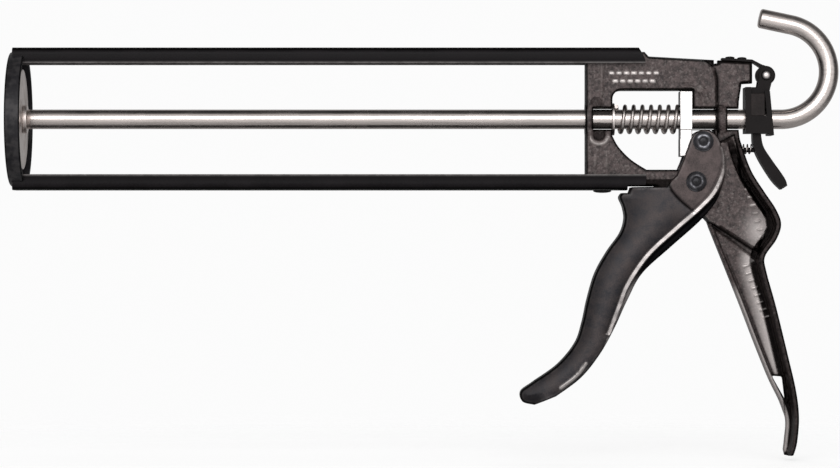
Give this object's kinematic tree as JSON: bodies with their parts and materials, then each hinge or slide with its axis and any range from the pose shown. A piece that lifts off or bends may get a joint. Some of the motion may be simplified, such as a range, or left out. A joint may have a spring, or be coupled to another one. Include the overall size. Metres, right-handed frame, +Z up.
{
  "type": "caulking gun",
  "caption": "Skeleton caulking gun: two steel rails join a round front cap to a cast housing with grip, trigger, sprung drive plate, hooked push rod and release catch.",
  "frame": {"origin": "centre of the nozzle hole on the outer face of the front cap", "axes": "+X runs back along the push rod, from the nozzle hole to the hook; +Z is up, towards the upper rail and the open side of the hook; +Y is across, away from the side with the plain pin heads"},
  "size_m": [0.3811, 0.0618, 0.2056],
  "materials": {
    "rail_black": "semi-gloss black paint",
    "cap_grey": "semi-gloss dark grey paint",
    "cast_paint": "satin brown-grey paint on a die casting",
    "trigger_paint": "satin dark grey paint",
    "rivet_dark": "dark finished steel",
    "zinc_steel": "bright zinc plate",
    "spring_steel": "zinc plated spring wire",
    "catch_black": "black oxide steel"
  },
  "bodies": {
    "frame": {"front_cap": "cap_grey", "top_rail": "rail_black", "bottom_rail": "rail_black", "cap_rivets": "rivet_dark", "rail_rivets": "rivet_dark", "housing": "cast_paint", "spring_washer": "zinc_steel", "main_spring": "spring_steel", "trigger_pivot_pin": "rivet_dark", "pivot_pin_washer": "zinc_steel", "catch_hanger": "catch_black", "hanger_rivets": "catch_black", "catch_pin": "zinc_steel", "catch_spring": "spring_steel"},
    "trigger": {"trigger": "trigger_paint", "drive_pin": "rivet_dark", "drive_pin_washer": "zinc_steel", "drive_sleeve": "zinc_steel"},
    "drive": {"drive_plate": "zinc_steel"},
    "piston": {"piston_plate": "zinc_steel"},
    "rod": {"push_rod": "zinc_steel", "piston_washer": "zinc_steel", "piston_nut": "zinc_steel"},
    "catch": {"release_catch": "catch_black", "catch_spacer": "rivet_dark", "catch_spring_pin": "catch_black"}
  },
  "joints": [
    {"name": "trigger_pull", "type": "hinge", "parent": "frame", "child": "trigger", "pos_m": [0.3149, 0, -0.0288], "axis": [0, -1, 0], "range_deg": [0, 35], "stiffness_Nm_per_rad": 0.3, "springref_deg": -17.19},
    {"name": "drive_slide", "type": "slide", "parent": "frame", "child": "drive", "axis": [-1, 0, 0], "range_m": [0, 0.0112], "stiffness_N_per_m": 400, "springref_m": -0.004, "deforming": ["main_spring"]},
    {"name": "rod_slide", "type": "slide", "parent": "frame", "child": "piston", "axis": [1, 0, 0], "range_m": [0, 0.25]},
    {"name": "rod_turn", "type": "hinge", "parent": "piston", "child": "rod", "pos_m": [0, 0, 0], "axis": [1, 0, 0], "range_deg": [-150, 150]},
    {"name": "catch_release", "type": "hinge", "parent": "frame", "child": "catch", "pos_m": [0.3473, 0, 0.0201], "axis": [0, 1, 0], "range_deg": [0, 5], "stiffness_Nm_per_rad": 0.2, "springref_deg": -8.59, "deforming": ["catch_spring"]}
  ],
  "couplings": [
    {"joint": "drive_slide", "follows": "trigger_pull", "m_per_rad": 0.01824}
  ]
}
